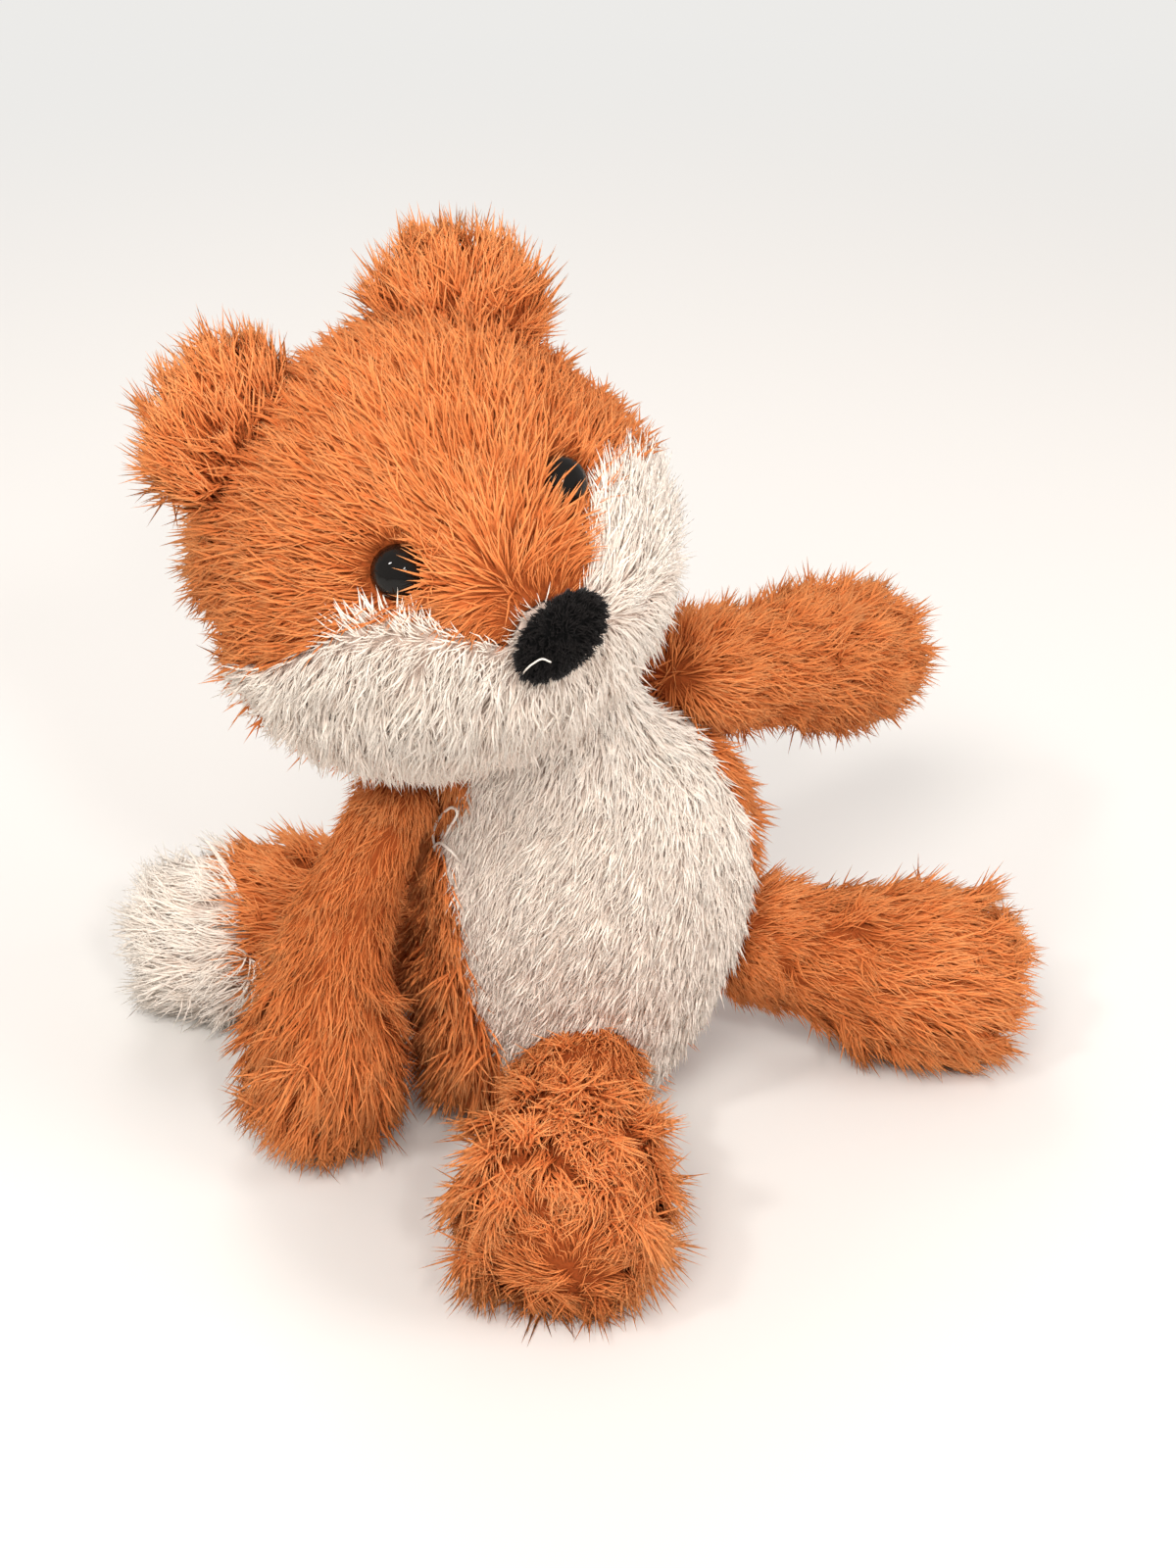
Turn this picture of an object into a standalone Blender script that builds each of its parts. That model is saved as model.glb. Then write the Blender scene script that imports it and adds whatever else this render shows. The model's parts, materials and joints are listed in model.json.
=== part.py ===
"""A small seated fox of shaggy plush, in metres, +Z up, facing -Y.

The origin is the centre of the flat seat under the torso. Each skin is a wall of plush, from the
knitted backing out to the middle of its pile, round a solid fill of fibre. Limbs, tail and head are
sewn on at round roots, and each root sits in a round seat in the piece that carries it.
"""
import math

import bmesh
import bpy
from mathutils import Euler, Matrix, Vector

# Cloth and clearances
GAP = 0.0003
EDGE_GAP = 0.00045
SKIN = 0.0040
PRESSED_FLAT = 0.0005
OVERRUN = 0.020
HALF_SPACE = 0.150
WELD = 0.00001
# Round end of a form: radius and reach of its last ring, reach of its pole, and its width when rounded
CAP_RING_SHARES = (0.79, 0.73, 1.10, 0.955)

# Torso
TORSO_HEIGHT = 0.082
TORSO_WIDTH = 0.067
TORSO_DEPTH = 0.058
TORSO_LEAN = 0.009
TORSO_SHIFT = 0.005
SEAT_DIP = 0.0015
NECK_RADIUS = 0.019
NECK_OPEN_SHARE = 0.68
# Height, half width and sideways lean of each ring, seat to neck
TORSO_RING_SHARES = (
    (0.01, 0.52, 0.20),
    (0.17, 0.74, 0.20),
    (0.36, 0.88, -0.10),
    (0.56, 0.94, -0.25),
    (0.75, 0.92, -0.15),
    (0.91, 0.83, 0.00),
)
# Height of the tummy panel's edge, seat to neck, and its reach to the fox's right and left
PANEL_EDGE_SHARES = (
    (0.05, -0.12, 0.56),
    (0.19, -0.44, 0.86),
    (0.38, -0.605, 0.97),
    (0.60, -0.665, 1.00),
    (0.78, -0.70, 0.92),
    (1.00, -0.60, 0.64),
    (1.30, -0.48, 0.48),
)
SEAT_BAG_RADIUS = 0.0115
SEAT_BAG_HEIGHT = 0.0140
SEAT_BAG_LIFT = 0.0070
BAG_FLAT_SHARE = 0.6

# Head
HEAD_WIDTH = 0.080
HEAD_DEPTH = 0.070
HEAD_HEIGHT = 0.077
MUZZLE_REACH = 0.010
HEAD_TO_RIGHT = 0.0175
HEAD_BACK = 0.0035
HEAD_ABOVE_NECK = 0.0387
HEAD_TURN_DEG = Vector((-18.4, -17.9, 8.6))
HEAD_RING_DEG = (-64.0, -40.0, -18.0, 3.0, 26.0, 48.0, 68.0)
# Widest at the cheeks, narrower towards the crown
HEAD_SWELL_SHARES = (1.05, 1.07, 1.06, 1.01, 0.94, 0.86, 0.80)
MUZZLE_DROP_DEG = 20.0
MUZZLE_SPREAD_SHARE = 0.62
CHEEK_SETBACK = 0.0032
# Sideways and upward places of the muzzle panel's upper edge, nose to cheek
MUZZLE_EDGE_SHARES = (
    (0.05, -0.18),
    (0.16, -0.28),
    (0.30, -0.16),
    (0.44, 0.02),
    (0.64, 0.05),
    (0.86, -0.02),
    (1.25, -0.06),
)

# Ears, eyes and nose
EAR_WIDTH = 0.0278
EAR_HEIGHT = 0.0226
EAR_THICKNESS = 0.011
EAR_LEAN_DEG = 33.5
EAR_BACK_SHARE = 0.06
EAR_STAND = 0.0010
EYE_RADIUS = 0.0043
EYE_DOME = 0.0036
EYE_SUNK = 0.0020
EYE_RIM = 0.0006
DOME_STEPS = 5
EYE_TURN_DEG = 24.5
EYE_RISE_DEG = 12.5
SHANK_RADIUS = 0.0015
SHANK_PAST_WASHER = 0.0012
WASHER_RADIUS = 0.0050
WASHER_THICKNESS = 0.0012
NOSE_WIDTH = 0.0188
NOSE_HEIGHT = 0.0118
NOSE_THICKNESS = 0.0075
NOSE_PROUD = 0.0035
NOSE_DROP_DEG = 16.0
NOSE_TURN_DEG = 1.5
NOSE_ROLL_DEG = 16.0

# Limbs and tail
ARM_LENGTH = 0.0635
ARM_LEFT_RADIUS = 0.0096
ARM_RIGHT_RADIUS = 0.0067
HAND_RADIUS = 0.0135
LEG_LENGTH = 0.0355
LEG_RADIUS = 0.0108
FOOT_RADIUS = 0.0175
TAIL_LENGTH = 0.0595
TAIL_ROOT_RADIUS = 0.0100
TAIL_TIP_RADIUS = 0.0155
# Place along the limb and swelling from root radius to end radius
LIMB_RING_SHARES = ((0.0, 0.0), (0.34, 0.12), (0.68, 0.62))
TAIL_RING_SHARES = ((0.0, 0.0), (0.34, 0.90), (0.70, 1.05))
TAIL_SEAM_SHARE = 0.88
# Turn from straight ahead and rise, where each starts and ends
ARM_LEFT_START_DEG, ARM_LEFT_END_DEG = (116.0, -14.0), (134.0, -24.0)
ARM_RIGHT_START_DEG, ARM_RIGHT_END_DEG = (-86.0, -51.0), (-74.0, -95.0)
LEG_LEFT_TURN_DEG, LEG_RIGHT_TURN_DEG = 75.0, -25.0
TAIL_START_DEG, TAIL_END_DEG = (-140.0, -5.4), (-95.0, -5.4)

# Where the limbs are sewn on
SHOULDER_BELOW_NECK = 0.0040
SHOULDER_INSIDE = 0.0029
SHOULDER_BACK = 0.0070
LEFT_SHOULDER_RAISED = 0.0050
LEFT_SHOULDER_BACK = 0.0040
LEFT_HIP_OUTSIDE = 0.0035
LEFT_HIP_HEIGHT = 0.0270
RIGHT_HIP_TO_RIGHT = 0.0080
RIGHT_HIP_INSIDE = 0.0110
RIGHT_HIP_HEIGHT = 0.0190
TAIL_TO_RIGHT = 0.0120
TAIL_OUTSIDE = 0.0020
TAIL_HEIGHT = 0.0200

SIDES_HEAD = 12
SIDES_TORSO = 10
SIDES_LIMB = 6
SIDES_TURNED = 20

ORANGE = (0.60, 0.19, 0.055)
WHITE = (0.72, 0.64, 0.57)
FIBRE = (0.80, 0.79, 0.76)
BLACK = (0.012, 0.011, 0.011)
BAG_CLOTH = (0.55, 0.53, 0.49)

for old in list(bpy.data.objects):
    bpy.data.objects.remove(old, do_unlink=True)

fox = bpy.data.collections.new("plush_fox")
cutters = bpy.data.collections.new("cutters")
bpy.context.scene.collection.children.link(fox)
bpy.context.scene.collection.children.link(cutters)

head_turn = Euler([math.radians(angle) for angle in HEAD_TURN_DEG], "XYZ").to_matrix()
neck_pivot = Vector((-TORSO_LEAN, 0.0, TORSO_HEIGHT))
head_centre = neck_pivot + Vector((-HEAD_TO_RIGHT, HEAD_BACK, HEAD_ABOVE_NECK))


def material(name, colour, roughness, metallic=0.0):
    """A plain material in one colour."""
    made = bpy.data.materials.new(name)
    made.use_nodes = True
    shader = made.node_tree.nodes["Principled BSDF"]
    shader.inputs["Base Color"].default_value = (*colour, 1.0)
    shader.inputs["Roughness"].default_value = roughness
    shader.inputs["Metallic"].default_value = metallic
    return made


def place(mesh, name, origin=None, finish=None):
    """An object for a mesh drawn in world coordinates, its origin on the given joint or centre."""
    origin = origin or Vector((0.0, 0.0, 0.0))
    mesh.transform(Matrix.Translation(-origin))
    mesh.shade_smooth()
    made = bpy.data.objects.new(name, mesh)
    made.location = origin
    if finish:
        mesh.materials.append(finish)
        fox.objects.link(made)
    else:
        cutters.objects.link(made)
        made.hide_render = True
        made.display_type = "WIRE"
    return made


def soft_form(name, rings, sides, origin=None, finish=None, pull=None):
    """A stuffed form: a coarse sphere cage, each ring drawn to its place, rounded by subdivision.

    rings holds (centre, half width vector, half depth vector), its first and last entries the poles.
    """
    cage = bmesh.new()
    bmesh.ops.create_uvsphere(cage, u_segments=sides, v_segments=len(rings) - 1, radius=1.0)
    fit = 6.0 / (4.0 + 2.0 * math.cos(2.0 * math.pi / sides))
    for vertex in cage.verts:
        ring = round(math.acos(max(-1.0, min(1.0, -vertex.co.z))) / math.pi * (len(rings) - 1))
        angle = math.atan2(vertex.co.y, vertex.co.x)
        centre, across, deep = rings[ring]
        vertex.co = centre + fit * (math.cos(angle) * across + math.sin(angle) * deep)
        if pull:
            vertex.co = pull(vertex.co)
    mesh = bpy.data.meshes.new(name)
    cage.to_mesh(mesh)
    cage.free()
    made = place(mesh, name, origin, finish)
    rounded = made.modifiers.new("rounded", "SUBSURF")
    rounded.levels = rounded.render_levels = 1
    return made


def boolean(target, tool, operation="DIFFERENCE"):
    """Cut one piece with another, or keep what they share."""
    step = target.modifiers.new(f"{operation.lower()}_{tool.name}"[:60], "BOOLEAN")
    step.operation = operation
    step.object = tool
    step.solver = "EXACT"


def ball(name, centre, radius):
    """A round seat for the root of a limb or the neck."""
    cage = bmesh.new()
    bmesh.ops.create_uvsphere(cage, u_segments=SIDES_TURNED, v_segments=SIDES_TURNED // 2, radius=radius)
    mesh = bpy.data.meshes.new(name)
    cage.to_mesh(mesh)
    cage.free()
    mesh.transform(Matrix.Translation(centre))
    return place(mesh, name)


def frame_across(direction, reference):
    """Two unit vectors across a direction, so that the three make a right-handed frame."""
    across = direction.cross(reference).normalized()
    return across, direction.cross(across)


def limb_rings(root, start, end, length, radii, table, inset=0.0, mouth=0.0):
    """Rings of a limb that swells from a round root to a round end along a gently bent line.

    mouth carries the root's pole that much further out, to open the skin where it is sewn on.
    """
    root_radius, end_radius = radii[0] - inset, radii[1] - inset
    knee = root + start * length / 2.0
    tip = knee + end * length / 2.0
    cap_radius, cap_reach, pole_reach, _ = CAP_RING_SHARES
    upright = abs(start.z) > abs(start.x) / 2.0 + abs(start.y) / 2.0
    reference = Vector((0.0, -1.0, 0.0)) if upright else Vector((0.0, 0.0, 1.0))

    def ring(centre, along, radius):
        across, deep = frame_across(along, reference)
        return centre, across * radius, deep * radius

    rings = [
        ring(root - start * (root_radius * pole_reach + mouth), start, 0.0),
        ring(root - start * (root_radius * cap_reach + mouth), start, root_radius * cap_radius),
    ]
    for along_share, swell_share in table:
        rest = 1.0 - along_share
        centre = rest * rest * root + 2.0 * rest * along_share * knee + along_share * along_share * tip
        along = (rest * start + along_share * end).normalized()
        rings.append(ring(centre, along, root_radius + (end_radius - root_radius) * swell_share))
    rings += [
        ring(tip, end, end_radius),
        ring(tip + end * end_radius * cap_reach, end, end_radius * cap_radius),
        ring(tip + end * end_radius * pole_reach, end, 0.0),
    ]
    return rings


def torso_centre(height_share, lean_share):
    """The middle of the torso at a share of the neck's height."""
    return Vector((-TORSO_LEAN * lean_share, TORSO_SHIFT, TORSO_HEIGHT * height_share))


def torso_rings(inset=0.0):
    """Rings of the torso: a flattened seat, a full middle and a round neck."""
    half_width, half_depth = TORSO_WIDTH / 2.0 - inset, TORSO_DEPTH / 2.0 - inset
    neck = NECK_RADIUS - inset
    x_axis, y_axis, z_axis = Matrix.Identity(3)
    cap_radius, cap_reach, pole_reach, _ = CAP_RING_SHARES
    rings = [(Vector((0.0, TORSO_SHIFT, inset - SEAT_DIP)), x_axis * 0.0, y_axis * 0.0)]
    for height_share, width_share, lean_share in TORSO_RING_SHARES:
        centre = torso_centre(height_share, lean_share)
        centre.z += inset * (1.0 - 2.0 * height_share)
        rings.append((centre, x_axis * half_width * width_share, y_axis * half_depth * width_share))
    rings += [
        (neck_pivot, x_axis * neck, y_axis * neck),
        (neck_pivot + z_axis * neck * cap_reach, x_axis * neck * cap_radius, y_axis * neck * cap_radius),
        (neck_pivot + z_axis * neck * pole_reach, x_axis * 0.0, y_axis * 0.0),
    ]
    return rings


def head_point(turn_deg, rise_deg, lift=0.0):
    """A place on the head's egg, in its own frame: turn from the nose, rise from the middle."""
    turn, rise = math.radians(turn_deg), math.radians(rise_deg)
    outward = Vector((
        math.sin(turn) * math.cos(rise) * (HEAD_WIDTH / 2.0 + lift),
        -math.cos(turn) * math.cos(rise) * (HEAD_DEPTH / 2.0 + lift),
        math.sin(rise) * (HEAD_HEIGHT / 2.0 + lift),
    ))
    return outward


def head_to_world(point):
    """From the head's own frame to the world."""
    return head_centre + head_turn @ point


def head_rings(inset=0.0):
    """Rings of the head, crown and chin as poles, turned with the head."""
    half_width, half_depth = HEAD_WIDTH / 2.0 - inset, HEAD_DEPTH / 2.0 - inset
    half_height = HEAD_HEIGHT / 2.0 - inset
    flat = Vector((0.0, 0.0, 0.0))
    rings = [(Vector((0.0, 0.0, -half_height)), flat, flat)]
    for rise_deg, swell_share in zip(HEAD_RING_DEG, HEAD_SWELL_SHARES):
        rise = math.radians(rise_deg)
        centre = Vector((0.0, 0.0, half_height * math.sin(rise)))
        rings.append((
            centre,
            Vector((half_width * math.cos(rise) * swell_share, 0.0, 0.0)),
            Vector((0.0, half_depth * math.cos(rise), 0.0)),
        ))
    rings.append((Vector((0.0, 0.0, half_height)), flat, flat))
    return rings


def drawn_forward(point):
    """A place on the head once the cage is drawn forward round the muzzle."""
    drop = math.radians(MUZZLE_DROP_DEG)
    towards = Vector((0.0, -math.cos(drop), -math.sin(drop)))
    facing = point.normalized().dot(towards) if point.length else 0.0
    weight = max(0.0, (facing - MUZZLE_SPREAD_SHARE) / (1.0 - MUZZLE_SPREAD_SHARE))
    return point + towards * MUZZLE_REACH * weight


def snout_pull(point):
    """The drawn head, turned to its place."""
    return head_to_world(drawn_forward(point))


def panel_cutter(name, points, reach):
    """A closed outline as seen from the front, carried over a reach."""
    curve = bpy.data.curves.new(name, "CURVE")
    curve.dimensions = "2D"
    curve.fill_mode = "BOTH"
    curve.extrude = reach / 2.0
    outline = curve.splines.new("POLY")
    outline.points.add(len(points) - 1)
    for slot, (x, z) in zip(outline.points, points):
        slot.co = (x, z, 0.0, 1.0)
    outline.use_cyclic_u = True
    return curve


def mesh_from_curve(curve, name, matrix):
    """A cutter made a closed mesh and placed."""
    loose = bpy.data.objects.new(name, curve)
    cutters.objects.link(loose)
    bpy.context.view_layer.update()
    mesh = bpy.data.meshes.new_from_object(loose.evaluated_get(bpy.context.evaluated_depsgraph_get()))
    bpy.data.objects.remove(loose, do_unlink=True)
    cage = bmesh.new()
    cage.from_mesh(mesh)
    bmesh.ops.remove_doubles(cage, verts=cage.verts, dist=WELD)
    bmesh.ops.recalc_face_normals(cage, faces=cage.faces)
    cage.to_mesh(mesh)
    cage.free()
    mesh.transform(matrix)
    return place(mesh, name)


def turned(name, profile, matrix, origin=None, finish=None, ring=False):
    """A turned piece: a profile of (radius, height), outer side top to bottom, spun about Z."""
    cage = bmesh.new()
    chain = [cage.verts.new((radius, 0.0, height)) for radius, height in profile]
    followers = chain[1:] + chain[:1] if ring else chain[1:]
    for first, second in zip(chain, followers):
        cage.edges.new((first, second))
    mesh = bpy.data.meshes.new(name)
    cage.to_mesh(mesh)
    cage.free()
    made = bpy.data.objects.new(name, mesh)
    cutters.objects.link(made)
    spin = made.modifiers.new("turned", "SCREW")
    spin.steps = spin.render_steps = SIDES_TURNED
    spin.use_merge_vertices = True
    spin.merge_threshold = WELD
    spin.use_smooth_shade = True
    bpy.context.view_layer.update()
    solid = bpy.data.meshes.new_from_object(made.evaluated_get(bpy.context.evaluated_depsgraph_get()))
    bpy.data.objects.remove(made, do_unlink=True)
    solid.transform(matrix)
    return place(solid, name, origin, finish)


def heading(turn_deg, rise_deg):
    """A unit direction: turn from straight ahead towards the fox's left, then rise."""
    turn, rise = math.radians(turn_deg), math.radians(rise_deg)
    return Vector((math.sin(turn) * math.cos(rise), -math.cos(turn) * math.cos(rise), math.sin(rise)))


def half_space(name, point, normal):
    """A block that covers everything beyond a plane."""
    cage = bmesh.new()
    bmesh.ops.create_cube(cage, size=2.0 * HALF_SPACE)
    mesh = bpy.data.meshes.new(name)
    cage.to_mesh(mesh)
    cage.free()
    turn = normal.to_track_quat("Z", "Y").to_matrix().to_4x4()
    mesh.transform(Matrix.Translation(point + normal * HALF_SPACE) @ turn)
    return place(mesh, name)


def barrel(name, radius, low, high, matrix):
    """A round cutter from one height to another on a piece's own axis."""
    return turned(name, ((0.0, high), (radius, high), (radius, low), (0.0, low)), matrix)


orange_plush = material("orange_plush", ORANGE, 0.92)
white_plush = material("white_plush", WHITE, 0.92)
fibre_fill = material("fibre_fill", FIBRE, 0.95)
black_velour = material("black_velour", BLACK, 0.85)
black_plastic = material("black_plastic", BLACK, 0.08)
clear_plastic = material("clear_plastic", FIBRE, 0.35)
bag_cloth = material("bag_cloth", BAG_CLOTH, 0.9)

floor = half_space("floor_cut", Vector((0.0, 0.0, 0.0)), Vector((0.0, 0.0, -1.0)))

# Torso: a back skin that wraps the sides and seat, and a tummy panel let into its front
torso_back = soft_form("torso_back_skin", torso_rings(), SIDES_TORSO, None, orange_plush)
tummy = soft_form("tummy_panel", torso_rings(), SIDES_TORSO, None, white_plush)
torso_fill = soft_form("torso_stuffing", torso_rings(SKIN + GAP), SIDES_TORSO, None, fibre_fill)
torso_hollow = soft_form("torso_hollow", torso_rings(SKIN), SIDES_TORSO)
neck_open = NECK_RADIUS * NECK_OPEN_SHARE
neck_mouth = barrel("neck_mouth", neck_open, 0.0, NECK_RADIUS + OVERRUN, Matrix.Translation(neck_pivot))

front_facing = Matrix(((1, 0, 0, 0), (0, 0, -1, 0), (0, 1, 0, 0), (0, 0, 0, 1)))


def tummy_cutter(name, grow):
    """The tummy panel's outline, carried forward from the middle of the torso."""
    half_width = TORSO_WIDTH / 2.0
    left = [(half_width * reach + grow, TORSO_HEIGHT * height) for height, _, reach in PANEL_EDGE_SHARES]
    right = [(half_width * reach - grow, TORSO_HEIGHT * height) for height, reach, _ in PANEL_EDGE_SHARES]
    curve = panel_cutter(name, left + right[::-1], TORSO_DEPTH + OVERRUN)
    forward = Matrix.Translation(Vector((-TORSO_LEAN / 2.0, TORSO_SHIFT + grow - curve.extrude, 0.0)))
    return mesh_from_curve(curve, name, forward @ front_facing)


boolean(torso_back, torso_hollow)
boolean(torso_back, tummy_cutter("tummy_opening", EDGE_GAP))
boolean(torso_back, neck_mouth)
boolean(torso_back, floor)
boolean(tummy, torso_hollow)
boolean(tummy, tummy_cutter("tummy_outline", 0.0), "INTERSECT")
boolean(tummy, neck_mouth)

# A bag of plastic beans low in the torso, so that the fox sits
bag_middle = Matrix.Translation(Vector((0.0, TORSO_SHIFT, SEAT_BAG_LIFT + SEAT_BAG_HEIGHT / 2.0)))
bag_top = SEAT_BAG_HEIGHT / 2.0
bag_flat = SEAT_BAG_RADIUS * BAG_FLAT_SHARE
bag_side = bag_top * BAG_FLAT_SHARE
turned(
    "seat_bean_bag",
    (
        (0.0, bag_top), (bag_flat, bag_top), (SEAT_BAG_RADIUS, bag_side),
        (SEAT_BAG_RADIUS, -bag_side), (bag_flat, -bag_top), (0.0, -bag_top),
    ),
    bag_middle, None, bag_cloth,
)
bag_pocket = turned(
    "bag_pocket",
    (
        (0.0, bag_top + GAP), (bag_flat, bag_top + GAP), (SEAT_BAG_RADIUS + GAP, bag_side + GAP),
        (SEAT_BAG_RADIUS + GAP, -OVERRUN), (0.0, -OVERRUN),
    ),
    bag_middle,
)
boolean(torso_fill, bag_pocket)

# Head: an orange mask with a white muzzle and cheeks let into its lower front
head_skin = soft_form("head_skin", head_rings(), SIDES_HEAD, neck_pivot, orange_plush, snout_pull)
muzzle = soft_form("muzzle_panel", head_rings(), SIDES_HEAD, neck_pivot, white_plush, snout_pull)
head_fill = soft_form("head_stuffing", head_rings(SKIN + GAP), SIDES_HEAD, neck_pivot, fibre_fill, snout_pull)
head_hollow = soft_form("head_hollow", head_rings(SKIN), SIDES_HEAD, pull=snout_pull)
head_clear = soft_form("head_clear", head_rings(-GAP), SIDES_HEAD, pull=snout_pull)
neck_seat = ball("neck_seat", neck_pivot, NECK_RADIUS + GAP)
head_matrix = Matrix.Translation(head_centre) @ head_turn.to_4x4()

muzzle_edge = [
    (HEAD_WIDTH / 2.0 * across_share, HEAD_HEIGHT / 2.0 * up_share)
    for across_share, up_share in MUZZLE_EDGE_SHARES
]
muzzle_edge.append((muzzle_edge[-1][0], -HEAD_HEIGHT / 2.0 - OVERRUN))


def muzzle_cutter(name, grow):
    """The muzzle panel's outline, the same on both sides, carried forward from the middle of the head."""
    left = [(x, z + grow) for x, z in muzzle_edge]
    right = [(-x, z) for x, z in reversed(left)]
    curve = panel_cutter(name, left + right, HEAD_DEPTH + OVERRUN)
    forward = Matrix.Translation(Vector((0.0, CHEEK_SETBACK + grow - curve.extrude, 0.0)))
    return mesh_from_curve(curve, name, head_matrix @ forward @ front_facing)


boolean(head_skin, head_hollow)
boolean(muzzle, head_hollow)
for piece in (head_skin, muzzle, head_fill):
    boolean(piece, neck_seat)
boolean(head_skin, muzzle_cutter("muzzle_opening", EDGE_GAP))
boolean(muzzle, muzzle_cutter("muzzle_outline", 0.0), "INTERSECT")

# Eyes: safety eyes, a black dome on a shank through the skin, locked by a washer inside
for side, sign in (("left", 1.0), ("right", -1.0)):
    spot = head_point(sign * EYE_TURN_DEG, EYE_RISE_DEG)
    outward = Vector((
        spot.x / HEAD_WIDTH ** 2, spot.y / HEAD_DEPTH ** 2, spot.z / HEAD_HEIGHT ** 2,
    )).normalized()
    seated = drawn_forward(spot) - outward * EYE_SUNK
    upright = Matrix.Translation(seated) @ outward.to_track_quat("Z", "Y").to_matrix().to_4x4()
    eye_matrix = head_matrix @ upright
    washer_top = EYE_SUNK - SKIN
    shank_end = washer_top - WASHER_THICKNESS - SHANK_PAST_WASHER
    slopes = [math.pi / 2.0 * step / DOME_STEPS for step in range(DOME_STEPS + 1)]
    profile = [(EYE_RADIUS * math.sin(slope), EYE_DOME * math.cos(slope)) for slope in slopes]
    profile += [
        (EYE_RADIUS, -EYE_RIM), (SHANK_RADIUS, -EYE_RIM), (SHANK_RADIUS, shank_end), (0.0, shank_end),
    ]
    turned(f"eye_{side}", profile, eye_matrix, neck_pivot, black_plastic)
    hole = SHANK_RADIUS + GAP
    turned(
        f"eye_washer_{side}",
        (
            (hole, washer_top), (WASHER_RADIUS, washer_top),
            (WASHER_RADIUS, washer_top - WASHER_THICKNESS), (hole, washer_top - WASHER_THICKNESS),
        ),
        eye_matrix, neck_pivot, clear_plastic, ring=True,
    )
    eye_room = turned(
        f"eye_room_{side}",
        (
            (0.0, OVERRUN), (EYE_RADIUS + GAP, OVERRUN), (EYE_RADIUS + GAP, -EYE_RIM - GAP),
            (hole, -EYE_RIM - GAP), (hole, washer_top + GAP), (WASHER_RADIUS + GAP, washer_top + GAP),
            (WASHER_RADIUS + GAP, shank_end - GAP), (0.0, shank_end - GAP),
        ),
        eye_matrix,
    )
    for piece in (head_skin, muzzle, head_fill):
        boolean(piece, eye_room)

# Nose: a padded oval of black velour, sewn into the front of the muzzle
nose_outward = heading(NOSE_TURN_DEG, -NOSE_DROP_DEG)
nose_reach = HEAD_DEPTH / 2.0 + MUZZLE_REACH + NOSE_PROUD - NOSE_THICKNESS / 2.0
nose_matrix = head_matrix @ Matrix.Translation(nose_outward * nose_reach)
nose_roll = Matrix.Rotation(math.radians(NOSE_ROLL_DEG), 3, nose_outward)
nose_across = nose_roll @ heading(NOSE_TURN_DEG + 90.0, 0.0)
nose_up = nose_outward.cross(nose_across)


def nose_rings(inset=0.0):
    """Rings of the nose, its back and front as poles."""
    half_width, half_height = NOSE_WIDTH / 2.0 - inset, NOSE_HEIGHT / 2.0 - inset
    half_depth = NOSE_THICKNESS / 2.0 - inset
    rings = []
    for rise_deg in (-90.0, -45.0, 0.0, 45.0, 90.0):
        rise = math.radians(rise_deg)
        centre = nose_outward * half_depth * math.sin(rise)
        rings.append((
            nose_matrix @ centre,
            nose_matrix.to_3x3() @ nose_across * half_width * math.cos(rise),
            nose_matrix.to_3x3() @ nose_up * half_height * math.cos(rise),
        ))
    return rings


soft_form("nose", nose_rings(), SIDES_HEAD, neck_pivot, black_velour)
nose_pocket = soft_form("nose_pocket", nose_rings(-GAP), SIDES_HEAD)
boolean(head_skin, nose_pocket)
boolean(muzzle, nose_pocket)

# Ears: two layers of plush each, sewn edge to edge, standing on the crown
for side, sign in (("left", 1.0), ("right", -1.0)):
    lean = math.radians(EAR_LEAN_DEG)
    radial = Vector((sign * math.sin(lean), 0.0, math.cos(lean)))
    foot = Vector((radial.x * HEAD_WIDTH / 2.0, HEAD_DEPTH * EAR_BACK_SHARE, radial.z * HEAD_HEIGHT / 2.0))
    along = head_turn @ radial
    behind = head_turn @ Vector((0.0, 1.0, 0.0))
    across = behind.cross(along)
    middle = head_to_world(foot + radial * EAR_STAND)

    def ear_rings(inset=0.0):
        """Rings of an ear, its base inside the head and its rounded tip outside."""
        rings = []
        for rise_deg in (-90.0, -50.0, -15.0, 20.0, 52.0, 90.0):
            rise = math.radians(rise_deg)
            rings.append((
                middle + along * EAR_HEIGHT / 2.0 * math.sin(rise),
                across * EAR_WIDTH / 2.0 * math.cos(rise),
                behind * EAR_THICKNESS / 2.0 * math.cos(rise),
            ))
        return rings

    for layer, facing in (("front", -1.0), ("back", 1.0)):
        ear = soft_form(f"ear_{side}_{layer}", ear_rings(), SIDES_TORSO, neck_pivot, orange_plush)
        seam_point = middle + behind * facing * GAP / 2.0
        beyond = half_space(f"ear_seam_{side}_{layer}", seam_point, -behind * facing)
        boolean(ear, beyond)
        boolean(ear, head_clear)


def limb(name, root, start, end, length, radii, table):
    """A limb: a tube of plush over fibre, its round root in a seat in the torso."""
    skin_rings = limb_rings(root, start, end, length, radii, table)
    skin = soft_form(f"{name}_skin", skin_rings, SIDES_LIMB, root, orange_plush)
    hollow_rings = limb_rings(root, start, end, length, radii, table, SKIN, 2.0 * SKIN)
    boolean(skin, soft_form(f"{name}_hollow", hollow_rings, SIDES_LIMB))
    fill_rings = limb_rings(root, start, end, length, radii, table, SKIN + GAP)
    soft_form(f"{name}_stuffing", fill_rings, SIDES_LIMB, root, fibre_fill)
    seat = ball(f"{name}_seat", root, radii[0] + GAP)
    for piece in (torso_back, tummy, torso_fill):
        boolean(piece, seat)
    return skin


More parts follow.
